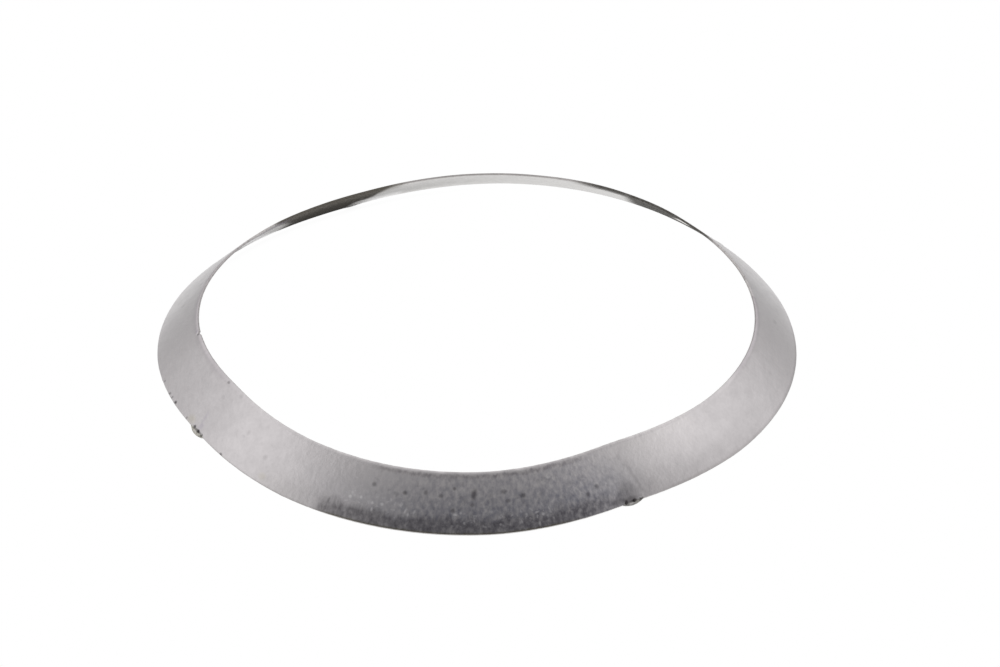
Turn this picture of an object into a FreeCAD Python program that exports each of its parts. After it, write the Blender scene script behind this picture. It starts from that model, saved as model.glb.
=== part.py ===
import FreeCAD, Part
import math
import os

# Sheet that the ring is stamped from, in millimetres and degrees
sheet_thickness = 0.30

# Cone that the sheet is pressed to, measured on its outer surface
wide_diameter = 85.0
face_width = 7.6
cone_angle = 39.95

# Stubs of the tabs that held the ring in its strip, as two pairs that lie across the ring
first_pair_angle = 32.0
second_pair_angle = 116.5
stub_width = 3.0
stub_reach = 0.42

# Score line across the root of each stub, where its tab was torn off
score_width = 0.44
score_depth = 0.10
score_end_margin = 0.30

# Flats, where tearing off the tabs has drawn the rims in
flat_count = 4
first_flat_angle = 34.0
flat_depth = 1.05
flat_extra_slope = 0.95

# Bend at each stub, deepest where its tab was torn off hardest, fading out to both sides
first_bend_depth = 0.14
second_bend_depth = 0.45
third_bend_depth = 0.50
fourth_bend_depth = 1.02
bend_reach_angle = 25.0
bend_rounding = 0.1
bend_fade = 1.3

# Spring in the loose ring: two opposite sides lifted, and the cone steeper on some sides
lift_height = 0.49
lift_angle = 38.5
steep_side_slope = 1.18
steep_side_angle = 44.0
steep_pair_slope = 2.07
steep_pair_angle = -18.0

# Nick in the edge of the narrow rim
nick_angle = 190.0
nick_width = 0.90
nick_depth = 0.28

# How far a cutting or blanking shape runs past the metal that it meets
overrun = 1.0

# Points that carry one turn of a rim's curve
curve_points = 144

# Worked out from the sizes above
wide_radius = wide_diameter / 2
stub_angles = [first_pair_angle, second_pair_angle, first_pair_angle + 180, second_pair_angle + 180]
bend_depths = [first_bend_depth, second_bend_depth, third_bend_depth, fourth_bend_depth]

AXIS = FreeCAD.Vector(0, 0, 1)
CENTRE = FreeCAD.Vector(0, 0, 0)
ALONG_RIM = FreeCAD.Vector(0, 1, 0)


def wave(angle, waves, peak_angle):
    """Cosine with a number of waves round the ring and a peak at one angle, from -1 to 1."""
    return math.cos(math.radians(waves * (angle - peak_angle)))


def bend(angle, stub_angle):
    """Share of one stub's bend that is felt at an angle, from 0 beyond its reach to nearly 1 at the stub."""
    gap = (angle - stub_angle + 180) % 360 - 180
    return max(0, 1 - math.hypot(gap / bend_reach_angle, bend_rounding)) ** bend_fade


def drawn_in(angle):
    """How far the bends at the stubs draw the sheet in towards the axis."""
    return sum(depth * bend(angle, stub_angle) for depth, stub_angle in zip(bend_depths, stub_angles))


def rim_radius(angle):
    """Radius of the wide rim's outer corner, smaller at the flats and at the bends."""
    return wide_radius - flat_depth / 2 * wave(angle, flat_count, first_flat_angle) - drawn_in(angle)


def rim_height(angle):
    """Height of the wide rim's outer corner, on a lifted or a lowered side."""
    return lift_height * wave(angle, 2, lift_angle)


def slope(angle):
    """Slope of the sheet in radians at an angle round the ring."""
    at_flats = flat_extra_slope * wave(angle, flat_count, first_flat_angle)
    one_side = steep_side_slope * wave(angle, 1, steep_side_angle)
    two_sides = steep_pair_slope * wave(angle, 2, steep_pair_angle)
    return math.radians(cone_angle + at_flats + one_side + two_sides)


def down_slant(angle):
    """Direction down the sheet, in the plane through the axis that is then turned to the angle."""
    return FreeCAD.Vector(math.cos(slope(angle)), 0, -math.sin(slope(angle)))


def sheet_normal(angle):
    """Direction out of the sheet's outer surface, in that same plane."""
    return FreeCAD.Vector(math.sin(slope(angle)), 0, math.cos(slope(angle)))


def sheet_point(angle, down, out, along=0.0):
    """Point near the wide rim, before its turn: down past the rim, out of the surface, along the rim."""
    corner = FreeCAD.Vector(rim_radius(angle), 0, rim_height(angle))
    return corner + down_slant(angle) * down + sheet_normal(angle) * out + ALONG_RIM * along


def turned(shape, angle):
    """Shape made in the plane of angle 0, turned about the ring's axis to its own angle."""
    shape.rotate(CENTRE, AXIS, angle)
    return shape


def rim_curve(down, out):
    """Closed curve that one corner of the sheet's section follows round the ring."""
    points = []
    for index in range(curve_points):
        angle = 360 * index / curve_points
        turn = FreeCAD.Rotation(AXIS, angle)
        points.append(turn.multVec(sheet_point(angle, down, out)))
    curve = Part.BSplineCurve()
    curve.interpolate(Points=points, PeriodicFlag=True)
    return Part.Wire(curve.toShape())


def band(corners):
    """Solid whose four-cornered section follows the ring all the way round."""
    curves = [rim_curve(down, out) for down, out in corners]
    faces = []
    for index, curve in enumerate(curves):
        faces.append(Part.makeRuledSurface(curves[index - 1].Edges[0], curve.Edges[0]))
    shell = Part.makeShell(faces)
    shell.sewShape()
    return Part.makeSolid(shell)


def sheet_band():
    """The pressed sheet, from the narrow rim to past the reach of the stubs."""
    past_rim = stub_reach + overrun
    return band([
        (-face_width, 0),
        (past_rim, 0),
        (past_rim, -sheet_thickness),
        (-face_width, -sheet_thickness),
    ])


def offcut_band():
    """The waste outside the wide rim, thicker than the sheet so that it clears both faces."""
    past_sheet = stub_reach + 2 * overrun
    under = -sheet_thickness - overrun
    return band([(0, overrun), (past_sheet, overrun), (past_sheet, under), (0, under)])


def stub_block(angle):
    """Ear shape of one stub as a block across the sheet, reaching back over its root."""
    level = -sheet_thickness - 2 * overrun
    back = down_slant(angle) * overrun
    left = sheet_point(angle, 0, level, -stub_width / 2)
    right = sheet_point(angle, 0, level, stub_width / 2)
    tip = sheet_point(angle, stub_reach, level)
    outline = Part.Wire([
        Part.Arc(left, tip, right).toShape(),
        Part.LineSegment(right, right - back).toShape(),
        Part.LineSegment(right - back, left - back).toShape(),
        Part.LineSegment(left - back, left).toShape(),
    ])
    height = sheet_thickness + 4 * overrun
    return turned(Part.Face(outline).extrude(sheet_normal(angle) * height), angle)


def score_line(angle):
    """Pointed groove across the root of one stub."""
    start = score_end_margin - stub_width / 2
    corners = [
        sheet_point(angle, 0, -score_depth, start),
        sheet_point(angle, score_width, score_depth, start),
        sheet_point(angle, -score_width, score_depth, start),
    ]
    section = Part.Face(Part.makePolygon(corners + [corners[0]]))
    return turned(section.extrude(ALONG_RIM * (-2 * start)), angle)


def rim_nick(angle):
    """Round-bottomed cutter for the nick in the narrow rim."""
    radius = (nick_width ** 2 / 4 + nick_depth ** 2) / (2 * nick_depth)
    down = -face_width + nick_depth - radius
    start = sheet_point(angle, down, -sheet_thickness - overrun)
    height = sheet_thickness + 2 * overrun
    return turned(Part.makeCylinder(radius, height, start, sheet_normal(angle)), angle)


def gasket_ring():
    """The whole stamped ring, one piece of sheet, resting with its lowest point at height 0."""
    offcut = offcut_band().cut([stub_block(angle) for angle in stub_angles])
    ring = sheet_band().cut(offcut)
    ring = ring.cut([score_line(angle) for angle in stub_angles] + [rim_nick(nick_angle)])
    ring.translate(AXIS * -ring.optimalBoundingBox().ZMin)
    return ring


os.makedirs("parts", exist_ok=True)
ring_shape = gasket_ring()
ring_shape.exportStep("parts/gasket_ring.step")
print("gasket_ring", "solids", len(ring_shape.Solids), "valid", ring_shape.isValid())
print("volume mm3", round(ring_shape.Volume, 2), "box", ring_shape.optimalBoundingBox())
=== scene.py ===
"""Conical gasket ring on a white studio floor: one stamped ring of satin sheet metal.

The ring is worked out in millimetres and degrees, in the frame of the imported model, and its mesh is
in metres. Angles go round the ring from +X towards +Y, seen from above.
"""

import logging
import math
from dataclasses import dataclass
from enum import Enum

import bpy
from mathutils import Matrix, Vector, noise


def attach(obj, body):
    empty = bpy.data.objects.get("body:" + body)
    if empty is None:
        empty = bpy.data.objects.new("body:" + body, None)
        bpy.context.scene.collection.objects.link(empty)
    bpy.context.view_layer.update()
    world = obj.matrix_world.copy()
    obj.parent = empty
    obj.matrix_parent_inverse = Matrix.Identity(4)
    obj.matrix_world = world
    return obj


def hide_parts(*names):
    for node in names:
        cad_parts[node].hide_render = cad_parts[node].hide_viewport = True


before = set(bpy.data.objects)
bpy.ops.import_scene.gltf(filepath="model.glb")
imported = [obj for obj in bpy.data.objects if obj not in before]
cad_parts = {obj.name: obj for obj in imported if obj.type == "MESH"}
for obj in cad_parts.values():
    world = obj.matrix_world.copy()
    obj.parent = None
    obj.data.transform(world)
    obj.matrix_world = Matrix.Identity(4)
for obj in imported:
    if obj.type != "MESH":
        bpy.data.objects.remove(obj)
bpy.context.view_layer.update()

Socket = bpy.types.NodeSocket

LOG = logging.getLogger("gasket_scene")
MM = 0.001
FULL_TURN = 360.0
WIDE_RADIUS = 42.5
STUB_ANGLES = (32.0, 116.5, 212.0, 296.5)
SHEET_MAP = "sheet"
NODE_SPACING = 180


class Face(Enum):
    """The kinds of surface on the ring, in the order of the mesh's material slots."""

    OUTER = 0
    INNER = 1
    CUT_EDGE = 2
    TORN_STUB = 3


def wave(angle: float, waves: int, peak: float) -> float:
    """Cosine with a number of waves round the ring and a peak at one angle.

    Args:
        angle: Angle round the ring in degrees.
        waves: Whole number of waves in one turn.
        peak: Angle of one peak in degrees.

    Returns:
        A value from -1 to 1.
    """
    return math.cos(math.radians(waves * (angle - peak)))


def turn_gap(angle: float, other: float) -> float:
    """Smallest signed turn in degrees from another angle to this one.

    Args:
        angle: Angle in degrees.
        other: The angle that the gap is measured from, in degrees.

    Returns:
        A value from -180 to 180.
    """
    return (angle - other + FULL_TURN / 2) % FULL_TURN - FULL_TURN / 2


def bell(distance: float, reach: float) -> float:
    """Smooth hump that is 1 at no distance and fades to 0 at its reach.

    Args:
        distance: Distance from the middle.
        reach: Distance at which the hump ends, in the same unit.

    Returns:
        A value from 0 to 1.
    """
    share = min(abs(distance) / reach, 1.0)
    return (1.0 - share * share) ** 2


def map_along(angle: float) -> float:
    """Place on the sheet's own map of an angle: millimetres along the wide rim's circle."""
    return math.radians(angle) * WIDE_RADIUS


@dataclass(frozen=True)
class StubBend:
    """Bend of the sheet towards the axis at one torn tab, fading out to both sides."""

    angle: float
    depth: float
    reach_angle: float = 25.0
    rounding: float = 0.1
    fade: float = 1.3

    def drawn_in(self, angle: float) -> float:
        """How far the bend draws the sheet in at an angle, in millimetres."""
        share = 1.0 - math.hypot(turn_gap(angle, self.angle) / self.reach_angle, self.rounding)
        return self.depth * max(0.0, share) ** self.fade


@dataclass(frozen=True)
class SheetForm:
    """Form of the pressed sheet: a cone with four flats, bent at the tabs and slightly sprung."""

    wide_radius: float = WIDE_RADIUS
    face_width: float = 7.6
    thickness: float = 0.30
    cone_angle: float = 39.95
    flat_count: int = 4
    flat_angle: float = 34.0
    flat_depth: float = 1.05
    flat_extra_slope: float = 0.95
    bend_depths: tuple[float, ...] = (0.14, 0.45, 0.50, 1.02)
    lift_height: float = 0.49
    lift_angle: float = 38.5
    steep_side_slope: float = 1.18
    steep_side_angle: float = 44.0
    steep_pair_slope: float = 2.07
    steep_pair_angle: float = -18.0
    base_lift: float = 0.950

    def rim_radius(self, angle: float) -> float:
        """Radius of the wide rim's outer corner at an angle.

        Args:
            angle: Angle round the ring in degrees.

        Returns:
            The radius in millimetres.
        """
        flats = self.flat_depth / 2 * wave(angle, self.flat_count, self.flat_angle)
        places = zip(STUB_ANGLES, self.bend_depths)
        return self.wide_radius - flats - sum(StubBend(*place).drawn_in(angle) for place in places)

    def rim_height(self, angle: float) -> float:
        """Height of the wide rim's outer corner at an angle."""
        return self.base_lift + self.lift_height * wave(angle, 2, self.lift_angle)

    def slope(self, angle: float) -> float:
        """Slope of the sheet at an angle.

        Args:
            angle: Angle round the ring in degrees.

        Returns:
            The slope in radians.
        """
        at_flats = self.flat_extra_slope * wave(angle, self.flat_count, self.flat_angle)
        one_side = self.steep_side_slope * wave(angle, 1, self.steep_side_angle)
        two_sides = self.steep_pair_slope * wave(angle, 2, self.steep_pair_angle)
        return math.radians(self.cone_angle + at_flats + one_side + two_sides)

    def point(self, angle: float, down: float, out: float) -> Vector:
        """Place of a point of the sheet.

        Args:
            angle: Angle round the ring in degrees.
            down: Distance down the sheet from the wide rim, below zero on the face.
            out: Distance out of the outer surface, below zero in the sheet.

        Returns:
            The point in millimetres in the row frame.
        """
        slope = self.slope(angle)
        radius = self.rim_radius(angle) + down * math.cos(slope) + out * math.sin(slope)
        height = self.rim_height(angle) - down * math.sin(slope) + out * math.cos(slope)
        turn = math.radians(angle)
        return Vector((radius * math.cos(turn), radius * math.sin(turn), height))


@dataclass(frozen=True)
class TabStub:
    """Torn stub of one tab on the wide rim: an ear with a crease and small pits at its root."""

    angle: float
    width: float = 3.0
    reach: float = 0.42
    least_reach: float = 0.02
    crease_depth: float = 0.06
    crease_width: float = 0.20
    crease_overlap: float = 1.15
    pit_depth: float = 0.15
    pit_radius: float = 0.26
    pit_places: tuple[float, ...] = (-0.95, 0.20, 1.15)
    pit_row: float = -0.10
    curl: float = 0.05
    tear: float = 0.05
    tear_scale: float = 4.0
    tear_seed: float = 1.0

    def along(self, angle: float, radius: float) -> float:
        """Distance along the rim from the stub's middle, in millimetres."""
        return math.radians(turn_gap(angle, self.angle)) * radius

    def outline(self, along: float) -> float:
        """How far the ear stands past the rim at a distance along it.

        Args:
            along: Distance along the rim from the stub's middle.

        Returns:
            Reach past the rim in millimetres, zero beside the ear.
        """
        half = self.width / 2
        if abs(along) >= half:
            return 0.0
        arc = (half * half + self.reach * self.reach) / (2 * self.reach)
        smooth = math.sqrt(arc * arc - along * along) - (arc - self.reach)
        torn = self.tear * noise.noise(Vector((along * self.tear_scale, self.tear_seed, 0.0)))
        return max(smooth - abs(torn) * bell(along, half), self.least_reach)

    def relief(self, along: float, down: float) -> float:
        """Height of the stub's marks on the outer surface, below zero where the metal is sunk in.

        Args:
            along: Distance along the rim from the stub's middle.
            down: Distance down the sheet from the rim.

        Returns:
            Distance out of the surface in millimetres.
        """
        inside = bell(along, self.width / 2 * self.crease_overlap)
        out = -self.crease_depth * inside * bell(down - self.pit_row, self.crease_width)
        for place in self.pit_places:
            distance = math.hypot(along - place, down - self.pit_row)
            out -= self.pit_depth * bell(distance, self.pit_radius)
        if down > 0.0:
            out += self.curl * inside * min(down / self.reach, 1.0)
        return out


@dataclass(frozen=True)
class RimNick:
    """Small bite out of the edge of a rim."""

    angle: float
    width: float
    depth: float

    def bite(self, angle: float, radius: float) -> float:
        """Depth of the bite at an angle on a rim of that radius, in millimetres."""
        along = math.radians(turn_gap(angle, self.angle)) * radius
        return self.depth * bell(along, self.width / 2)


@dataclass
class ShaderTree:
    """Small helper that adds and joins nodes in one node tree."""

    tree: bpy.types.NodeTree
    column: int = 0

    def add(self, kind: str, inputs: dict | None = None, **settings: object) -> bpy.types.Node:
        """Adds a node.

        Args:
            kind: Blender's name for the node's type.
            inputs: Values or output sockets by input name or number.
            settings: Attributes of the node to set first.

        Returns:
            The new node.
        """
        node = self.tree.nodes.new(kind)
        node.location = (self.column * NODE_SPACING, 0)
        self.column += 1
        for name, value in settings.items():
            setattr(node, name, value)
        for key, value in (inputs or {}).items():
            self.put(node.inputs[key], value)
        return node

    def put(self, socket: Socket, value: object) -> None:
        """Joins an output to a socket, or sets the socket's own value.

        Args:
            socket: The input socket.
            value: An output socket, or the value to set.
        """
        if isinstance(value, Socket):
            self.tree.links.new(value, socket)
        else:
            socket.default_value = value

    def group(
        self, group: bpy.types.NodeTree, values: dict[str, float]
    ) -> bpy.types.bpy_prop_collection:
        """Places a node group with its own values and gives its outputs."""
        return self.add("ShaderNodeGroup", values, node_tree=group).outputs

    def math(
        self, operation: str, first: object, second: object = 0.0, clamp: bool = False
    ) -> Socket:
        """Adds a Math node and gives its output."""
        inputs = {0: first, 1: second}
        return self.add("ShaderNodeMath", inputs, operation=operation, use_clamp=clamp).outputs[0]

    def stretched(self, place: Socket, factors: tuple[float, float, float]) -> Socket:
        """Multiplies a place by a factor for each axis."""
        inputs = {0: place, 1: factors}
        return self.add("ShaderNodeVectorMath", inputs, operation="MULTIPLY").outputs[0]

    def ramp(
        self, value: object, low: object, high: object, start: float = 0.0, end: float = 1.0
    ) -> Socket:
        """Smooth change from start to end as a value goes from low to high.

        Args:
            value: The driving value or socket.
            low: Value at which the change begins.
            high: Value at which the change is complete.
            start: Result at or below low.
            end: Result at or above high.

        Returns:
            The result's output socket.
        """
        inputs = {0: value, 1: low, 2: high, 3: start, 4: end}
        return self.add("ShaderNodeMapRange", inputs, interpolation_type="SMOOTHSTEP").outputs[0]

    def mix(self, share: object, first: object, second: object, blend: str = "MIX") -> Socket:
        """Mixes two colours by a share and gives the result."""
        inputs = {0: share, 6: first, 7: second}
        return self.add("ShaderNodeMix", inputs, data_type="RGBA", blend_type=blend).outputs[2]

    def pattern(self, place: Socket, scale: object, detail: float, roughness: float) -> Socket:
        """Adds a Noise Texture and gives its pattern, from 0 to 1."""
        inputs = {"Vector": place, "Scale": scale, "Detail": detail, "Roughness": roughness}
        return self.add("ShaderNodeTexNoise", inputs).outputs[0]

    def swing(self, pattern: Socket, reach: object) -> Socket:
        """Turns a pattern into a swing to both sides of zero by about a reach."""
        doubled = self.math("MULTIPLY", reach, 2.0)
        return self.math("MULTIPLY", self.math("SUBTRACT", pattern, 0.5), doubled)


def new_group(
    name: str, inputs: tuple[str, ...], outputs: tuple[str, ...]
) -> tuple[ShaderTree, bpy.types.bpy_prop_collection, bpy.types.bpy_prop_collection]:
    """Starts a shader node group whose sockets all carry single values.

    Args:
        name: Name of the group.
        inputs: Names of its inputs.
        outputs: Names of its outputs.

    Returns:
        The tree helper, the sockets that give the inputs, and the sockets that take the outputs.
    """
    tree = bpy.data.node_groups.new(name, "ShaderNodeTree")
    for labels, side in ((inputs, "INPUT"), (outputs, "OUTPUT")):
        for label in labels:
            tree.interface.new_socket(label, in_out=side, socket_type="NodeSocketFloat")
    given = tree.nodes.new("NodeGroupInput").outputs
    wanted = tree.nodes.new("NodeGroupOutput").inputs
    return ShaderTree(tree), given, wanted


@dataclass(frozen=True)
class GrainLayer:
    """One layer of the rolled grain: its noise and its share in the grain's height."""

    name: str
    scale: float
    detail: float
    roughness: float
    height_share: float
    slanted: bool = False


class SheetEffects:
    """Node groups that more than one of the ring's materials uses."""

    GRAIN_LAYERS = (
        GrainLayer("Coarse", 620.0, 2.0, 0.55, 1.3),
        GrainLayer("Fine", 2300.0, 2.0, 0.6, 0.9),
        GrainLayer("Strokes", 1500.0, 1.0, 0.5, 0.6, slanted=True),
    )
    STROKE_TURN = (0.3, 0.0, 0.7)
    STROKE_DRAW = (1.0, 0.28, 1.0)
    SPECK_INPUTS = ("Scale", "Share", "Size")
    SPOT_INPUTS = ("Along", "Up", "Half Length", "Half Width", "Lean", "Strength")
    SPOT_EDGE = 1.15
    SPOT_CORE = 0.25
    STRETCH_INPUTS = (
        "Start", "End", "Start Fade", "End Fade", "Low", "Low Fade", "High", "High Fade",
        "Lean", "Wander", "Streak", "Mottle", "Patch", "Patch Scale", "Depth",
    )
    BLOTCH_SCALE = 0.42
    STREAK_SCALE = 2.4
    STREAK_DRAW = (1.0, 0.2, 1.0)
    MOTTLE_SCALE = 1.7
    MOTTLE_DRAW = (1.0, 0.72, 1.0)
    BORDER_DETAIL = 2.0
    MOTTLE_DETAIL = 5.0
    STAIN_ROUGHNESS = 0.6
    PATCH_DETAIL = 2.0
    PATCH_ROUGHNESS = 0.5
    PATCH_START = 0.56
    PATCH_FULL = 0.68

    def __init__(self) -> None:
        """Builds each group once."""
        self.grain = self._grain()
        self.specks = self._specks()
        self.spot = self._spot()
        self.stretch = self._stretch()

    def _grain(self) -> bpy.types.NodeTree:
        """Rolled-sheet grain: mottling, fine grain and short strokes.

        Returns:
            The group, which gives a tone about 1 and a height about 0.5.
        """
        names = tuple(layer.name for layer in self.GRAIN_LAYERS)
        kit, given, wanted = new_group("rolled_grain", names, ("Tone", "Height"))
        place = kit.add("ShaderNodeTexCoord").outputs["Object"]
        inputs = {"Vector": place, "Rotation": self.STROKE_TURN, "Scale": self.STROKE_DRAW}
        slant = kit.add("ShaderNodeMapping", inputs).outputs[0]
        tone = 1.0
        height = 0.5
        for layer in self.GRAIN_LAYERS:
            where = slant if layer.slanted else place
            pattern = kit.pattern(where, layer.scale, layer.detail, layer.roughness)
            swing = kit.math("MULTIPLY", kit.math("SUBTRACT", pattern, 0.5), 2.0)
            tone = kit.math("ADD", tone, kit.math("MULTIPLY", swing, given[layer.name]))
            height = kit.math("ADD", height, kit.math("MULTIPLY", swing, layer.height_share))
        kit.put(wanted["Tone"], tone)
        kit.put(wanted["Height"], height)
        return kit.tree

    def _specks(self) -> bpy.types.NodeTree:
        """Scattered small specks, fewer or more by their share.

        Returns:
            The group, which gives a mask.
        """
        kit, given, wanted = new_group("scattered_specks", self.SPECK_INPUTS, ("Mask",))
        place = kit.add("ShaderNodeTexCoord").outputs["Object"]
        cells = kit.add("ShaderNodeTexVoronoi", {"Vector": place, "Scale": given["Scale"]}).outputs
        pick = kit.add("ShaderNodeSeparateColor", {0: cells["Color"]}).outputs[0]
        chosen = kit.math("LESS_THAN", pick, given["Share"])
        spread = kit.math("DIVIDE", cells["Distance"], given["Size"])
        near = kit.math("SUBTRACT", 1.0, spread, clamp=True)
        kit.put(wanted["Mask"], kit.math("MULTIPLY", near, chosen))
        return kit.tree

    def _spot(self) -> bpy.types.NodeTree:
        """One soft oval spot on the sheet's own map.

        Returns:
            The group, which gives a mask.
        """
        kit, given, wanted = new_group("soft_spot", self.SPOT_INPUTS, ("Mask",))
        sheet_map = kit.add("ShaderNodeUVMap", uv_map=SHEET_MAP).outputs[0]
        place = kit.add("ShaderNodeSeparateXYZ", {0: sheet_map}).outputs
        rise = kit.math("SUBTRACT", place[1], given["Up"])
        run = kit.math("SUBTRACT", place[0], given["Along"])
        run = kit.math("SUBTRACT", run, kit.math("MULTIPLY", rise, given["Lean"]))
        across = kit.math("DIVIDE", run, given["Half Length"])
        upward = kit.math("DIVIDE", rise, given["Half Width"])
        across = kit.math("MULTIPLY", across, across)
        upward = kit.math("MULTIPLY", upward, upward)
        distance = kit.math("SQRT", kit.math("ADD", across, upward))
        mask = kit.ramp(distance, self.SPOT_EDGE, self.SPOT_CORE)
        kit.put(wanted["Mask"], kit.math("MULTIPLY", mask, given["Strength"]))
        return kit.tree

    def _stretch(self) -> bpy.types.NodeTree:
        """One stretch of stain or painted shade with soft, wandering and streaky borders.

        Returns:
            The group, which gives a mask.
        """
        kit, given, wanted = new_group("stain_or_shade_stretch", self.STRETCH_INPUTS, ("Mask",))
        sheet_map = kit.add("ShaderNodeUVMap", uv_map=SHEET_MAP).outputs[0]
        place = kit.add("ShaderNodeSeparateXYZ", {0: sheet_map}).outputs
        streaked = kit.stretched(sheet_map, self.STREAK_DRAW)
        drawn = kit.stretched(sheet_map, self.MOTTLE_DRAW)
        swings = []
        for where, scale, detail, name in (
            (sheet_map, self.BLOTCH_SCALE, self.BORDER_DETAIL, "Wander"),
            (streaked, self.STREAK_SCALE, self.BORDER_DETAIL, "Streak"),
            (drawn, self.MOTTLE_SCALE, self.MOTTLE_DETAIL, "Mottle"),
        ):
            pattern = kit.pattern(where, scale, detail, self.STAIN_ROUGHNESS)
            swings.append(kit.swing(pattern, given[name]))
        blotch, streak, mottle = swings
        wander = kit.math("ADD", blotch, streak)
        upward = kit.math("ADD", place[1], wander)
        leaned = kit.math("MULTIPLY", place[1], given["Lean"])
        along = kit.math("ADD", kit.math("ADD", place[0], wander), leaned)
        bands = []
        for value, first, last in ((along, "Start", "End"), (upward, "Low", "High")):
            first_full = kit.math("ADD", given[first], given[first + " Fade"])
            last_full = kit.math("SUBTRACT", given[last], given[last + " Fade"])
            opening = kit.ramp(value, given[first], first_full)
            closing = kit.ramp(value, given[last], last_full)
            bands.append(kit.math("MULTIPLY", opening, closing))
        spots = kit.pattern(
            sheet_map, given["Patch Scale"], self.PATCH_DETAIL, self.PATCH_ROUGHNESS
        )
        patches = kit.ramp(spots, self.PATCH_START, self.PATCH_FULL)
        even = kit.math("SUBTRACT", 1.0, given["Patch"])
        patchy = kit.math("ADD", even, kit.math("MULTIPLY", patches, given["Patch"]))
        depth = kit.math("MULTIPLY", kit.math("ADD", 1.0, mottle), patchy)
        depth = kit.math("MULTIPLY", depth, given["Depth"])
        inside = kit.math("MULTIPLY", *bands)
        kit.put(wanted["Mask"], kit.math("MULTIPLY", inside, depth, clamp=True))
        return kit.tree


@dataclass(frozen=True)
class StainOrShade:
    """Stained stretch of the sheet, or a stretch of painted shade, highlight or reflection.

    Its span and the fades inside its two ends are in degrees. Its top and its foot each give a
    height up the face and the fade inside it, in millimetres. It leans by millimetres along for
    each one up, crust dulls the metal under it, and crust below zero wears earlier crust off.
    """

    span: tuple[float, float]
    fades: tuple[float, float]
    depth: float
    colour: tuple[float, float, float]
    top: tuple[float, float] = (30.0, 1.0)
    foot: tuple[float, float] = (-3.0, 1.0)
    lean: float = 0.0
    wander: float = 0.4
    streak: float = 0.3
    mottle: float = 0.4
    patch: float = 0.0
    patch_scale: float = 1.0
    crust: float = 0.0

    def sockets(self) -> dict[str, float]:
        """The stretch's values for the group for stretches of stain or painted shade.

        Returns:
            The values by input name.
        """
        along = (map_along(angle) for angle in self.span + self.fades)
        borders = (self.lean, self.wander, self.streak)
        inside = (self.mottle, self.patch, self.patch_scale, self.depth)
        values = (*along, *self.foot, *self.top, *borders, *inside)
        return dict(zip(SheetEffects.STRETCH_INPUTS, values))


class Paint(Enum):
    """Colours of the small marks on the sheet."""

    DARK = (0.035, 0.03, 0.033)
    GREY = (0.20, 0.19, 0.21)
    LILAC = (0.40, 0.36, 0.46)
    STRAW = (0.50, 0.47, 0.36)
    PALE = (0.92, 0.91, 0.92)


@dataclass(frozen=True)
class Mark:
    """One small mark by its place on the sheet, leaning by millimetres along for each one up."""

    angle: float
    up: float
    length: float = 0.75
    width: float = 0.70
    strength: float = 0.5
    colour: Paint = Paint.DARK
    lean: float = 0.0

    def sockets(self) -> dict[str, float]:
        """The mark's values for the group for soft spots.

        Returns:
            The values by input name.
        """
        place = (map_along(self.angle), self.up)
        shape = (self.length / 2, self.width / 2, self.lean, self.strength)
        return dict(zip(SheetEffects.SPOT_INPUTS, place + shape))


@dataclass(frozen=True)
class Grain:
    """Strengths of the sheet's grain, and how far it stands out in millimetres."""

    coarse: float
    fine: float
    strokes: float
    relief: float

    def sockets(self) -> dict[str, float]:
        """The strengths by input name of the group for rolled grain."""
        return {"Coarse": self.coarse, "Fine": self.fine, "Strokes": self.strokes}


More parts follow.
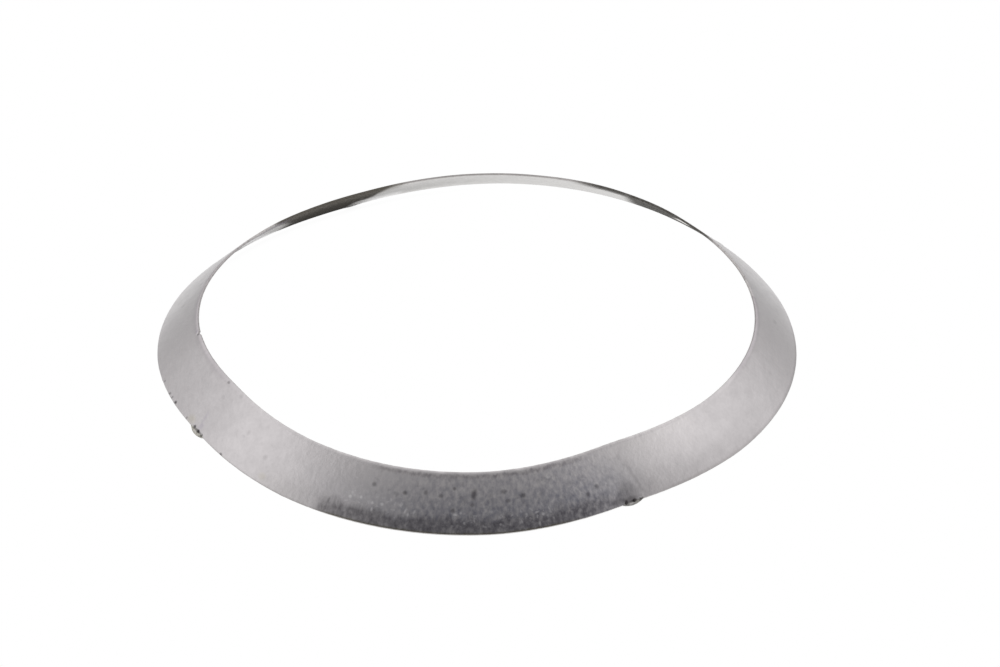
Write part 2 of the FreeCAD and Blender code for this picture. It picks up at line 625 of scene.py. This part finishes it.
@dataclass(frozen=True)
class Finish:
    """Finish of one kind of surface: a metal with grain, specks, stains, painted light and shade, and
    marks on it.
    """

    name: str
    colour: tuple[float, float, float]
    roughness: float
    grain: Grain
    speck_share: float = 0.0
    speck_scale: float = 900.0
    speck_depth: float = 0.5
    speck_size: float = 0.42
    speck_colour: tuple[float, float, float] = (0.03, 0.028, 0.026)
    specular: float = 0.5
    tone_gloss: float = -0.6
    crust_roughness: float = 0.5
    stains_and_shade: tuple[StainOrShade, ...] = ()
    marks: tuple[Mark, ...] = ()

    def build(self, effects: SheetEffects) -> bpy.types.Material:
        """Makes the material.

        Args:
            effects: The shared node groups.

        Returns:
            The finished material.
        """
        material = bpy.data.materials.new(self.name)
        material.use_nodes = True
        material.node_tree.nodes.clear()
        kit = ShaderTree(material.node_tree)
        grain = kit.group(effects.grain, self.grain.sockets())
        tone = grain["Tone"]
        grey = kit.add("ShaderNodeCombineColor", {0: tone, 1: tone, 2: tone}).outputs[0]
        colour = kit.mix(1.0, (*self.colour, 1.0), grey, "MULTIPLY")
        values = (self.speck_scale, self.speck_share, self.speck_size)
        specks = kit.group(effects.specks, dict(zip(SheetEffects.SPECK_INPUTS, values)))["Mask"]
        speckled = kit.math("MULTIPLY", specks, self.speck_depth)
        colour = kit.mix(speckled, colour, (*self.speck_colour, 1.0))
        colour, crust = self.stained_and_shaded(kit, effects, colour)
        for mark in self.marks:
            spot = kit.group(effects.spot, mark.sockets())["Mask"]
            colour = kit.mix(spot, colour, (*mark.colour.value, 1.0))
        relief = {
            "Strength": 1.0,
            "Distance": self.grain.relief * MM,
            "Height": kit.math("SUBTRACT", grain["Height"], specks),
        }
        bump = kit.add("ShaderNodeBump", relief)
        swing = kit.math("MULTIPLY", kit.math("SUBTRACT", tone, 1.0), self.tone_gloss)
        swing = kit.math("ADD", swing, kit.math("MULTIPLY", crust, self.crust_roughness))
        surface = {
            "Base Color": colour,
            "Metallic": kit.math("SUBTRACT", 1.0, crust, clamp=True),
            "Roughness": kit.math("ADD", self.roughness, swing, clamp=True),
            "Specular IOR Level": self.specular,
            "Normal": bump.outputs[0],
        }
        shader = kit.add("ShaderNodeBsdfPrincipled", surface)
        kit.add("ShaderNodeOutputMaterial", {0: shader.outputs[0]})
        return material

    def stained_and_shaded(
        self, kit: ShaderTree, effects: SheetEffects, colour: Socket
    ) -> tuple[Socket, object]:
        """Adds the stains and the stretches of painted shade, highlight and reflection.

        Args:
            kit: Helper of the material's node tree.
            effects: The shared node groups.
            colour: The colour so far.

        Returns:
            The colour with the stains and painted shade on it, and how far their crust hides the bare
            metal.
        """
        crust = 0.0
        for stain_or_shade in self.stains_and_shade:
            mask = kit.group(effects.stretch, stain_or_shade.sockets())["Mask"]
            colour = kit.mix(mask, colour, (*stain_or_shade.colour, 1.0))
            if stain_or_shade.crust > 0.0:
                crust = kit.math("MAXIMUM", crust, kit.math("MULTIPLY", mask, stain_or_shade.crust))
            if stain_or_shade.crust < 0.0:
                worn = kit.math("ADD", 1.0, kit.math("MULTIPLY", mask, stain_or_shade.crust))
                crust = kit.math("MULTIPLY", crust, worn)
        return colour, crust


# Painted dark reflection over the front of the outer face, and stains along the front
# Painted dark reflection of the camera side over the front, bluish, deepest towards the wide rim.
PAINTED_FRONT_DARK_REFLECTION = StainOrShade(
    (233.5, 302.0), (28.0, 9.0), 0.44, (0.105, 0.115, 0.155),
    top=(7.4, 5.6), lean=-0.1, wander=0.8, streak=0.4, mottle=1.0,
)
# Painted dark reflection, mottled, over the same front.
PAINTED_FRONT_REFLECTION_MOTTLE = StainOrShade(
    (247.0, 297.0), (20.0, 10.0), 0.17, (0.09, 0.10, 0.17),
    top=(7.5, 0.6), foot=(-2.0, 1.0), wander=0.6, mottle=3.4,
)
SPATTER = StainOrShade(
    (248.0, 300.0), (6.0, 4.0), 0.16, (0.06, 0.055, 0.07),
    top=(7.2, 1.0), foot=(1.0, 2.0), mottle=0.8, patch=1.0, patch_scale=0.8,
)
# Darker towards the wide rim along the front.
FRONT_FOOT_DARKENING = StainOrShade(
    (242.0, 303.0), (2.5, 16.0), 0.58, (0.105, 0.097, 0.105),
    top=(2.7, 1.7), wander=1.0, streak=0.7, mottle=1.0,
)
OIL_LINE = StainOrShade(
    (243.0, 288.0), (3.0, 6.0), 0.6, (0.13, 0.12, 0.07),
    top=(0.34, 0.3), wander=0.1, streak=0.2, mottle=0.2,
)
RUB_LINE = StainOrShade(
    (249.0, 292.0), (4.0, 4.0), 0.25, (0.12, 0.09, 0.10),
    top=(7.35, 0.3), foot=(6.6, 0.4), wander=0.3, streak=0.35, mottle=1.5,
)

# Places on the front and beside it where handling has rubbed the sheet bright or dull, and a painted
# highlight beside the fourth stub
WORN_PATCH = StainOrShade(
    (244.0, 261.0), (4.0, 4.0), 0.30, (0.85, 0.84, 0.86), top=(4.6, 1.4), foot=(1.4, 0.9),
    wander=0.6, streak=0.6, mottle=0.8, patch=0.8, patch_scale=2.4,
)
WORN_FLECKS = StainOrShade(
    (262.0, 284.0), (6.0, 3.0), 0.30, (0.85, 0.84, 0.86), top=(3.4, 1.2), foot=(0.4, 0.9),
    wander=0.6, streak=0.6, mottle=0.6, patch=1.0, patch_scale=1.6,
)
# Painted highlight on the upper face to the right of the fourth stub.
PAINTED_RIGHT_HIGHLIGHT = StainOrShade(
    (294.0, 321.0), (7.0, 12.0), 0.56, (0.92, 0.89, 0.89),
    top=(12.0, 1.0), foot=(1.0, 6.5), wander=0.5, mottle=0.2,
)
RUBBED_FOOT = StainOrShade(
    (296.0, 332.0), (4.0, 14.0), 0.24, (0.20, 0.19, 0.19), top=(4.2, 4.2), wander=0.5
)
LEFT_DULLING = StainOrShade((196.0, 222.0), (8.0, 10.0), 0.11, (0.20, 0.19, 0.20), wander=0.8)
LEFT_FOOT_DUST = StainOrShade(
    (226.0, 247.0), (9.0, 8.0), 0.16, (0.25, 0.24, 0.22), top=(3.6, 3.0), wander=0.5, mottle=0.5
)

# Thin dark lines along the rims, on the face and on the cut edge beside it; the one along the left
# narrow rim and the one along the right wide rim are painted shade
LEFT_EDGE_LINE = StainOrShade(
    (214.0, 250.0), (5.0, 6.0), 0.30, (0.16, 0.14, 0.13),
    top=(0.3, 0.4), wander=0.1, streak=0.1, mottle=0.5,
)
# Painted shade along the narrow rim on the left, darker towards the rim.
LEFT_RIM_PAINTED_SHADE = StainOrShade(
    (148.0, 214.0), (6.0, 10.0), 0.22, (0.24, 0.20, 0.24), foot=(6.2, 1.4), wander=0.3, mottle=0.3
)
RIGHT_RIM_LINE = StainOrShade(
    (326.0, 361.0), (10.0, 0.4), 0.28, (0.24, 0.20, 0.24),
    foot=(6.7, 0.8), wander=0.1, streak=0.1, mottle=0.3,
)
# Painted shade along the wide rim on the right, on its shadow side.
RIGHT_FOOT_PAINTED_SHADE = StainOrShade(
    (300.0, 361.0), (6.0, 0.4), 0.24, (0.16, 0.14, 0.13), top=(0.55, 0.5), wander=0.1, streak=0.1
)

# Painted dark reflections of the shaded floor on the inner face at the back, with a dull crust under
# them
LEFT_DARK_REFLECTION = StainOrShade(
    (114.0, 137.0), (3.5, 5.0), 0.96, (0.05, 0.044, 0.034),
    foot=(-1.8, 2.6), lean=0.6, mottle=0.3, crust=0.95,
)
LEFT_DARK_REFLECTION_END = StainOrShade(
    (110.0, 132.8), (5.0, 5.0), 0.96, (0.052, 0.045, 0.036),
    foot=(-1.8, 2.6), lean=-1.0, mottle=0.3, crust=0.95,
)
# Painted grey reflection over the upper part of the inner face on the left.
LEFT_GREY_REFLECTION = StainOrShade(
    (105.0, 143.0), (4.0, 5.0), 0.64, (0.215, 0.20, 0.17), foot=(3.6, 3.4), streak=0.4
)
RIGHT_DARK_REFLECTION = StainOrShade(
    (24.0, 57.5), (6.0, 4.0), 0.90, (0.105, 0.098, 0.086),
    lean=0.3, wander=0.6, streak=0.5, crust=0.90,
)
RIGHT_DARK_REFLECTION_LINE = StainOrShade(
    (50.0, 68.0), (4.0, 9.0), 0.90, (0.105, 0.098, 0.086),
    foot=(4.6, 2.4), streak=0.4, mottle=0.3, crust=0.85,
)

# Painted bright reflections of the white floor in those dark reflections, where the crust is worn
# off, and painted dark lines along their top and foot
LEFT_BRIGHT_REFLECTION_FOOT = StainOrShade(
    (105.0, 119.5), (3.0, 3.0), 0.85, (0.98, 0.97, 0.96),
    top=(3.4, 1.6), lean=0.4, wander=0.3, streak=0.1, mottle=0.2, crust=-0.6,
)
LEFT_BRIGHT_REFLECTION_STREAK = StainOrShade(
    (133.2, 141.2), (1.6, 1.6), 1.0, (0.98, 0.97, 0.97), lean=-1.55, streak=0.5, crust=-1.0
)
# Painted shadow along the foot of the inner face.
LEFT_FOOT_PAINTED_SHADOW = StainOrShade(
    (142.2, 149.5), (2.0, 2.0), 0.85, (0.24, 0.22, 0.23), lean=-1.5, streak=0.4, crust=0.5
)
# Painted dark reflection along the top of the inner face.
LEFT_TOP_DARK_REFLECTION = StainOrShade(
    (135.0, 156.0), (3.0, 3.0), 0.70, (0.17, 0.15, 0.185),
    foot=(4.2, 1.6), wander=0.1, streak=0.1, mottle=0.2, crust=0.5,
)
RIGHT_BRIGHT_REFLECTION_LINE = StainOrShade(
    (42.2, 48.4), (1.8, 1.8), 0.95, (0.92, 0.89, 0.84),
    foot=(2.0, 1.6), lean=1.25, streak=0.5, crust=-0.95,
)

# The front's group holds its painted dark reflection and painted highlight with its real stains.
FRONT_DIRT_AND_REFLECTIONS = (PAINTED_FRONT_DARK_REFLECTION, PAINTED_FRONT_REFLECTION_MOTTLE, SPATTER, FRONT_FOOT_DARKENING, WORN_PATCH, WORN_FLECKS, PAINTED_RIGHT_HIGHLIGHT, RUBBED_FOOT)
FRONT_LINES = (OIL_LINE, RUB_LINE)
LEFT_DIRT = (LEFT_DULLING, LEFT_FOOT_DUST)
RIM_LINES_AND_SHADE = (LEFT_EDGE_LINE, LEFT_RIM_PAINTED_SHADE, RIGHT_RIM_LINE, RIGHT_FOOT_PAINTED_SHADE)
INNER_DARK_REFLECTIONS = (LEFT_DARK_REFLECTION, LEFT_DARK_REFLECTION_END, LEFT_GREY_REFLECTION, RIGHT_DARK_REFLECTION, RIGHT_DARK_REFLECTION_LINE)
INNER_REFLECTION_LINES = (
    LEFT_BRIGHT_REFLECTION_FOOT, LEFT_BRIGHT_REFLECTION_STREAK, LEFT_FOOT_PAINTED_SHADOW, LEFT_TOP_DARK_REFLECTION, RIGHT_BRIGHT_REFLECTION_LINE,
)

# Small marks on the outer face, by their angle and their height up it
FRONT_SPECKS_AND_FOLD_SHADE = (
    Mark(251.5, 4.9, strength=0.4),
    Mark(257.2, 4.55),
    Mark(260.8, 4.85, strength=0.4),
    Mark(263.5, 4.6, strength=0.4),
    Mark(265.6, 2.9),
    Mark(265.7, 5.55, 0.6, 0.6),
    Mark(268.8, 3.6, strength=0.4),
    Mark(269.1, 4.85, 0.95, 1.7, 0.6, lean=0.15),
    Mark(274.3, 5.0, 1.1, 0.7, 0.4),
    Mark(274.9, 3.85, 0.8, 0.6, 0.4),
    Mark(277.6, 4.25, 0.9, 0.8),
    Mark(289.0, 2.6, 0.7, 0.8),
    Mark(291.0, 3.2, 0.8, 0.8, 0.4),
    Mark(293.9, 0.55, 2.4, 1.0, 0.35),
    # Painted shade of the fold at the fourth stub, rising from its root.
    Mark(296.1, 1.3, 3.4, 3.8, 0.30),
    Mark(296.2, 0.40, 2.4, 0.9, 0.45),
    # Painted shade of the same fold, higher up the face.
    Mark(298.4, 3.0, 0.9, 4.6, 0.13, lean=-0.2),
)
FRONT_FLECKS = (
    Mark(248.0, 2.8, 0.6, 0.5, 0.45, Paint.PALE),
    Mark(248.2, 3.35, 0.5, 0.5, 0.3, Paint.PALE),
    Mark(249.9, 3.05, 0.5, 0.5, 0.45, Paint.PALE),
    Mark(252.0, 2.65, 0.5, 0.45, 0.35, Paint.PALE),
    Mark(253.7, 2.75, 0.6, 0.5, 0.4, Paint.PALE),
    Mark(255.1, 3.45, 0.4, 0.5, 0.25, Paint.PALE),
    Mark(256.8, 3.0, 0.4, 0.5, 0.3, Paint.PALE),
    Mark(252.2, 1.9, 0.35, 0.7, 0.3, Paint.PALE),
    Mark(257.8, 2.4, 0.35, 0.9, 0.35, Paint.PALE, 0.3),
    Mark(258.3, 2.0, 0.35, 0.6, 0.35, Paint.PALE),
    Mark(259.3, 2.4, 0.35, 0.7, 0.3, Paint.PALE, 0.3),
    Mark(266.0, 2.4, 0.7, 0.45, 0.5, Paint.PALE),
    Mark(266.9, 2.6, 0.4, 0.35, 0.3, Paint.PALE),
    Mark(279.5, 2.0, 0.7, 0.4, 0.4, Paint.PALE, 0.8),
    Mark(280.5, 1.65, 0.5, 0.5, 0.4, Paint.PALE),
    Mark(279.7, 0.6, 0.4, 0.8, 0.3, Paint.PALE),
    Mark(282.6, 5.85, 0.8, 0.5, 0.3, Paint.PALE),
)
LEFT_MARKS = (
    Mark(190.3, 7.3, 0.7, 0.7, 0.5),
    Mark(189.0, 7.2, 0.9, 0.6, 0.3, Paint.LILAC),
    Mark(194.9, 0.3, 0.55, 0.5, 0.35),
    Mark(199.0, 0.2, 0.65, 0.6, 0.5),
    Mark(200.4, 0.25, 0.55, 0.55, 0.42),
    Mark(202.2, 0.25, 0.75, 0.6, 0.8),
    Mark(207.6, 0.2, 0.55, 0.5, 0.4),
    Mark(220.5, 0.05, 0.75, 0.6, 0.65),
    Mark(210.0, 7.2, 0.9, 0.5, 0.45),
    Mark(211.4, 2.0, 0.7, 2.2, 0.22, Paint.LILAC, -0.25),
    Mark(212.1, 0.85, 1.1, 1.2, 0.28, Paint.LILAC),
    Mark(208.9, 0.6, 2.4, 1.4, 0.35, Paint.STRAW),
    Mark(222.5, 3.6, 0.9, 0.5, 0.10, Paint.GREY),
    Mark(231.0, 0.9, 1.6, 1.2, 0.25, Paint.STRAW),
)
# Darker spot on the cut edge at the nick.
NICK_DARKENING = Mark(190.2, 7.4, 0.6, 1.2, 0.4)


def stub_shade_and_highlight_marks(angle: float) -> tuple[Mark, ...]:
    """Painted shade in three pits and the crease between them, and a painted highlight on a ridge, at
    the root of one torn stub.

    Args:
        angle: Angle of the stub in degrees.

    Returns:
        The marks, on the outer face and on the torn metal.
    """
    return (
        Mark(angle - 1.2, 0.24, 0.66, 0.60, 0.85),
        Mark(angle + 0.3, 0.16, 0.84, 0.56, 0.8),
        Mark(angle + 1.7, 0.0, 0.60, 0.50, 0.65),
        Mark(angle + 0.1, 0.12, 2.6, 0.40, 0.5),
        Mark(angle - 0.4, -0.14, 0.8, 0.26, 0.35, Paint.PALE),
    )


# Painted shade and highlights at the roots of all four stubs.
STUB_SHADE_AND_HIGHLIGHT = tuple(mark for stub in STUB_ANGLES for mark in stub_shade_and_highlight_marks(stub))

FINISHES = {
    Face.OUTER: Finish(
        "satin_face", (0.64, 0.62, 0.625), 0.31, Grain(0.075, 0.055, 0.02, 0.009),
        speck_share=0.04, speck_scale=850.0, speck_depth=0.22,
        # Painted dark reflection, highlight and shade go on the outer face with its real stains and
        # marks.
        stains_and_shade=FRONT_DIRT_AND_REFLECTIONS + FRONT_LINES + LEFT_DIRT + RIM_LINES_AND_SHADE,
        marks=FRONT_SPECKS_AND_FOLD_SHADE + FRONT_FLECKS + LEFT_MARKS + STUB_SHADE_AND_HIGHLIGHT,
    ),
    Face.INNER: Finish(
        "satin_inner_face", (0.66, 0.645, 0.63), 0.30, Grain(0.05, 0.05, 0.05, 0.008),
        # The inner face's stretches are painted reflections and shadow of the floor.
        specular=0.2, stains_and_shade=INNER_DARK_REFLECTIONS + INNER_REFLECTION_LINES,
    ),
    Face.CUT_EDGE: Finish(
        "blanked_edge", (0.60, 0.58, 0.57), 0.5, Grain(0.10, 0.12, 0.10, 0.012),
        # The cut edge takes the inner face's painted reflections and the rims' painted shade too.
        speck_share=0.15, speck_scale=1500.0, stains_and_shade=INNER_DARK_REFLECTIONS + RIM_LINES_AND_SHADE, marks=(NICK_DARKENING,),
    ),
    Face.TORN_STUB: Finish(
        "torn_stub", (0.50, 0.49, 0.44), 0.45, Grain(0.20, 0.30, 0.10, 0.025),
        speck_share=0.45, speck_scale=2200.0, speck_depth=0.8,
        # The torn stubs take the front's painted dark reflection and its darkening towards the wide
        # rim.
        stains_and_shade=(PAINTED_FRONT_DARK_REFLECTION, FRONT_FOOT_DARKENING), marks=STUB_SHADE_AND_HIGHLIGHT,
    ),
}


@dataclass(frozen=True)
class GasketRing:
    """The ring as one piece of thin sheet, built row by row round its section."""

    form: SheetForm = SheetForm()
    stubs: tuple[TabStub, ...] = (
        TabStub(STUB_ANGLES[0], tear_seed=1.7),
        TabStub(STUB_ANGLES[1], tear_seed=2.9),
        TabStub(STUB_ANGLES[2], 3.3, 0.44, tear_seed=4.3),
        TabStub(STUB_ANGLES[3], 2.8, 0.36, tear_seed=6.1),
    )
    nick: RimNick = RimNick(190.0, 0.9, 0.28)
    step: float = 0.5
    fine_step: float = 0.09
    fine_reach: float = 1.9
    face_rows: int = 14
    root_rows: int = 18
    root_band: float = 0.50
    torn_band: float = 0.12
    edge_round: float = 0.03
    ripple: float = 0.035
    ripple_scales: tuple[float, float] = (5.0, 0.12)
    edge_ripple: float = 0.018
    edge_ripple_scale: float = 60.0
    wide_edge_seed: float = 3.0
    narrow_edge_seed: float = 7.0

    def angles(self) -> list[float]:
        """Angles of the section cuts, closer together at the stubs and the nick.

        Returns:
            The angles in degrees, in order round the ring.
        """
        places = []
        angle = 0.0
        spots = [stub.angle for stub in self.stubs] + [self.nick.angle]
        half = math.degrees(self.fine_reach / self.form.wide_radius)
        while angle < FULL_TURN - self.fine_step / 2:
            places.append(angle)
            near = min(abs(turn_gap(angle, spot)) for spot in spots)
            wide_step = max(self.fine_step, near - half + self.fine_step)
            angle += self.fine_step if near < half else min(self.step, wide_step)
        return places

    def reach(self, angle: float) -> float:
        """Distance that the wide rim stands past its line at an angle, at a stub."""
        radius = self.form.rim_radius(angle)
        return max(stub.outline(stub.along(angle, radius)) for stub in self.stubs)

    def bite(self, angle: float) -> float:
        """Depth of the nick in the narrow rim at an angle."""
        return self.nick.bite(angle, self.form.rim_radius(angle) - self.form.face_width)

    def surface_rows(self, angle: float) -> list[float]:
        """Rows of one face at an angle, closer together at the wide rim.

        Args:
            angle: Angle round the ring in degrees.

        Returns:
            Their distances down the sheet, from the narrow rim on.
        """
        start = -self.form.face_width + self.bite(angle) + self.edge_round
        end = self.reach(angle) - self.edge_round
        root = -self.root_band
        rows = [start + (root - start) * row / self.face_rows for row in range(self.face_rows)]
        rows += [root + (end - root) * row / self.root_rows for row in range(self.root_rows + 1)]
        return rows

    def waviness(self, angle: float, down: float) -> float:
        """Slight unevenness of the pressed sheet.

        Args:
            angle: Angle round the ring in degrees.
            down: Distance down the sheet from the wide rim.

        Returns:
            Distance out of the surface in millimetres.
        """
        turn = math.radians(angle)
        round_scale, down_scale = self.ripple_scales
        place = (math.cos(turn) * round_scale, math.sin(turn) * round_scale, down * down_scale)
        return self.ripple * noise.noise(Vector(place))

    def edge_shift(self, angle: float, seed: float) -> float:
        """Unevenness of a cut edge.

        Args:
            angle: Angle round the ring in degrees.
            seed: Place in the noise, one for each edge.

        Returns:
            Distance down the sheet in millimetres.
        """
        turn = math.radians(angle)
        scale = self.edge_ripple_scale
        place = Vector((math.cos(turn) * scale, math.sin(turn) * scale, seed))
        return self.edge_ripple * noise.noise(place)

    def edge(self, down: float, swell: float, kind: Face) -> list[tuple[float, float, Face]]:
        """Three points across a cut edge, from the outer surface to the inner one.

        Args:
            down: Distance of the edge down the sheet.
            swell: Unevenness of the sheet there, out of its surface.
            kind: The kind of face that the edge is.

        Returns:
            Points of the section, as section() gives them.
        """
        thick = self.form.thickness
        outs = (swell - self.edge_round, swell - thick / 2, swell - thick + self.edge_round)
        return [(down, out, kind) for out in outs]

    def section(self, angle: float) -> list[tuple[float, float, Face]]:
        """Section of the sheet at one angle.

        Args:
            angle: Angle round the ring in degrees.

        Returns:
            Points in order round the section, as distance down the sheet, distance out of its
            outer surface, and the kind of face from that point to the next.
        """
        rows = self.surface_rows(angle)
        radius = self.form.rim_radius(angle)
        tip = self.reach(angle) + self.edge_shift(angle, self.wide_edge_seed)
        shift = self.edge_shift(angle, self.narrow_edge_seed)
        top = -self.form.face_width + self.bite(angle) + shift
        at_stub = self.reach(angle) > 0.0
        wide_face = Face.TORN_STUB if at_stub else Face.CUT_EDGE
        points = []
        for down in rows:
            out = self.waviness(angle, down)
            for stub in self.stubs:
                along = stub.along(angle, radius)
                if abs(along) < stub.width:
                    out += stub.relief(along, down)
            torn = at_stub and down >= -self.torn_band
            points.append((down, out, Face.TORN_STUB if torn else Face.OUTER))
        points[-1] = (*points[-1][:2], wide_face)
        points += self.edge(tip, self.waviness(angle, 0.0), wide_face)
        for down in reversed(rows):
            points.append((down, self.waviness(angle, down) - self.form.thickness, Face.INNER))
        points[-1] = (*points[-1][:2], Face.CUT_EDGE)
        return points + self.edge(top, self.waviness(angle, top), Face.CUT_EDGE)[::-1]

    def build(self) -> bpy.types.Object:
        """Makes the ring's mesh, with its map and the kinds of its faces.

        Returns:
            The new object, in metres in the row frame.
        """
        angles = self.angles()
        sections = [self.section(angle) for angle in angles]
        count = len(sections[0])
        vertices = []
        faces = []
        kinds = []
        corners = []
        for index, (angle, section) in enumerate(zip(angles, sections)):
            vertices += [self.form.point(angle, down, out) * MM for down, out, _ in section]
            start = index * count
            end = (index + 1) % len(sections) * count
            near = map_along(angle)
            far = map_along(angles[index + 1] if end else FULL_TURN)
            for row, (down, _, kind) in enumerate(section):
                after = (row + 1) % count
                faces.append((start + row, start + after, end + after, end + row))
                kinds.append(kind.value)
                up_after = -section[after][0]
                corners += [(near, -down), (near, up_after), (far, up_after), (far, -down)]
        mesh = bpy.data.meshes.new("gasket_ring_sheet")
        mesh.from_pydata(vertices, [], faces)
        layer = mesh.uv_layers.new(name=SHEET_MAP)
        for loop, place in enumerate(corners):
            layer.data[loop].uv = place
        for polygon, kind in zip(mesh.polygons, kinds):
            polygon.material_index = kind
            polygon.use_smooth = True
        mesh.validate()
        ring = bpy.data.objects.new("gasket_ring_sheet", mesh)
        bpy.context.scene.collection.objects.link(ring)
        return ring

    def dress(self, ring: bpy.types.Object, effects: SheetEffects) -> None:
        """Gives the ring its finishes, in the order of Face.

        Args:
            ring: The ring's object.
            effects: The shared node groups.
        """
        for face in Face:
            ring.data.materials.append(FINISHES[face].build(effects))


@dataclass(frozen=True)
class Studio:
    """White studio: floor, surrounding light and camera. Metres and degrees."""

    floor_half: float = 3.0
    floor_grey: float = 0.8
    shade_reach: float = 0.0022
    shade_samples: int = 16
    shade_level: float = 0.91
    shade_open: float = 0.45
    mirror_closed: float = 0.05
    mirror_open: float = 0.62
    floor_mirrored: float = 0.95
    floor_far: float = 0.58
    glow_near: float = 0.045
    glow_far: float = 0.060
    horizon_level: float = 0.48
    horizon_height: float = 0.02
    side_level: float = 1.04
    side_elevation: float = 34.0
    dark_azimuth: float = -88.0
    dark_elevation: float = 68.0
    dark_level: float = 0.352
    dark_core: float = 14.0
    dark_edge: float = 58.0
    light_tint: tuple[float, float, float] = (1.0, 0.985, 0.99)
    camera_elevation: float = 33.053
    camera_distance: float = 0.255
    camera_target_height: float = 0.00095
    camera_pan: float = 0.729
    camera_tilt: float = 0.025
    camera_roll: float = 1.110
    camera_lens: float = 67.788
    camera_near: float = 0.01
    sensor_width: float = 36.0

    def build_floor(self) -> bpy.types.Object:
        """White floor that keeps the ring's soft shade.

        Returns:
            The floor's object.
        """
        half = self.floor_half
        corners = [(-half, -half, 0.0), (half, -half, 0.0), (half, half, 0.0), (-half, half, 0.0)]
        mesh = bpy.data.meshes.new("floor")
        mesh.from_pydata(corners, [], [(0, 1, 2, 3)])
        floor = bpy.data.objects.new("floor", mesh)
        bpy.context.scene.collection.objects.link(floor)
        mesh.materials.append(self.floor_material())
        return floor

    def floor_material(self) -> bpy.types.Material:
        """White that shows soft contact shade, and that the ring mirrors dimmer further away.

        Returns:
            The floor's material.
        """
        material = bpy.data.materials.new("white_floor")
        material.use_nodes = True
        material.node_tree.nodes.clear()
        kit = ShaderTree(material.node_tree)
        grey = self.floor_grey
        lit = kit.add("ShaderNodeBsdfDiffuse", {"Color": (grey, grey, grey, 1.0)}).outputs[0]
        reach = {"Distance": self.shade_reach}
        shade = kit.add("ShaderNodeAmbientOcclusion", reach, samples=self.shade_samples)
        open_share = shade.outputs["AO"]
        place = kit.add("ShaderNodeNewGeometry").outputs["Position"]
        away = kit.add("ShaderNodeVectorMath", {0: place}, operation="LENGTH").outputs["Value"]
        glow_ends = (self.floor_mirrored, self.floor_far)
        glow_level = kit.ramp(away, self.glow_near, self.glow_far, *glow_ends)
        opened = kit.ramp(open_share, self.mirror_closed, self.mirror_open)
        mirrored = kit.math("MULTIPLY", opened, glow_level)
        seen_direct = kit.ramp(open_share, 0.0, self.shade_open, self.shade_level, 1.0)
        rays = kit.add("ShaderNodeLightPath").outputs
        levels = {0: rays["Is Camera Ray"], 2: mirrored, 3: seen_direct}
        strength = kit.add("ShaderNodeMix", levels).outputs[0]
        white = {"Color": (1.0, 1.0, 1.0, 1.0), "Strength": strength}
        glow = kit.add("ShaderNodeEmission", white).outputs[0]
        seen = kit.math("ADD", rays["Is Camera Ray"], rays["Is Glossy Ray"])
        seen = kit.math("ADD", seen, rays["Is Transmission Ray"], clamp=True)
        shown = kit.add("ShaderNodeMixShader", {0: seen, 1: lit, 2: glow}).outputs[0]
        kit.add("ShaderNodeOutputMaterial", {0: shown})
        return material

    def build_light(self) -> None:
        """Soft light from all round, brightest from the sides, dark above and behind the camera."""
        world = bpy.data.worlds.new("studio_light")
        bpy.context.scene.world = world
        world.use_nodes = True
        world.node_tree.nodes.clear()
        kit = ShaderTree(world.node_tree)
        way = kit.add("ShaderNodeTexCoord").outputs["Generated"]
        height = kit.add("ShaderNodeSeparateXYZ", {0: way}).outputs[2]
        side_height = math.sin(math.radians(self.side_elevation))
        ends = (self.horizon_level, self.side_level)
        level = kit.ramp(height, self.horizon_height, side_height, *ends)
        azimuth = math.radians(self.dark_azimuth)
        elevation = math.radians(self.dark_elevation)
        towards = (
            math.cos(elevation) * math.cos(azimuth),
            math.cos(elevation) * math.sin(azimuth),
            math.sin(elevation),
        )
        both = {0: way, 1: towards}
        facing = kit.add("ShaderNodeVectorMath", both, operation="DOT_PRODUCT").outputs["Value"]
        dark_core = math.cos(math.radians(self.dark_core))
        dark_edge = math.cos(math.radians(self.dark_edge))
        shade = kit.ramp(facing, dark_edge, dark_core, 1.0, self.dark_level)
        level = kit.math("MULTIPLY", level, shade)
        rays = kit.add("ShaderNodeLightPath").outputs
        strength = kit.add("ShaderNodeMix", {0: rays["Is Camera Ray"], 2: level, 3: 1.0}).outputs[0]
        light = {"Color": (*self.light_tint, 1.0), "Strength": strength}
        glow = kit.add("ShaderNodeBackground", light).outputs[0]
        kit.add("ShaderNodeOutputWorld", {0: glow})

    def build_camera(self) -> bpy.types.Object:
        """Camera at the ring's viewing angle.

        Returns:
            The camera, set as the scene's own.
        """
        elevation = math.radians(self.camera_elevation)
        right = Vector((1.0, 0.0, 0.0))
        back = Vector((0.0, -math.cos(elevation), math.sin(elevation)))
        level = Matrix((right, back.cross(right), back))
        tilt = Matrix.Rotation(math.radians(self.camera_tilt), 3, "X")
        pan = Matrix.Rotation(math.radians(self.camera_pan), 3, "Y")
        roll = Matrix.Rotation(math.radians(self.camera_roll), 3, "Z")
        turn = (roll @ pan @ tilt @ level).transposed()
        data = bpy.data.cameras.new("camera")
        data.sensor_width = self.sensor_width
        data.lens = self.camera_lens
        data.clip_start = self.camera_near
        camera = bpy.data.objects.new("camera", data)
        bpy.context.scene.collection.objects.link(camera)
        place = back * self.camera_distance + Vector((0.0, 0.0, self.camera_target_height))
        camera.matrix_world = Matrix.Translation(place) @ turn.to_4x4()
        bpy.context.scene.camera = camera
        return camera


def main() -> None:
    """Builds the ring, its finishes and the studio in order."""
    logging.basicConfig(level=logging.INFO, format="%(name)s: %(message)s")
    effects = SheetEffects()
    maker = GasketRing()
    ring = maker.build()
    maker.dress(ring, effects)
    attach(ring, "root")
    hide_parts("gasket_ring")
    LOG.info("%s: %d faces", ring.name, len(ring.data.polygons))
    studio = Studio()
    studio.build_floor()
    studio.build_light()
    studio.build_camera()
    LOG.info("studio: floor, light and camera")
    bpy.context.scene.view_settings.view_transform = "Standard"


if __name__ == "__main__":
    main()
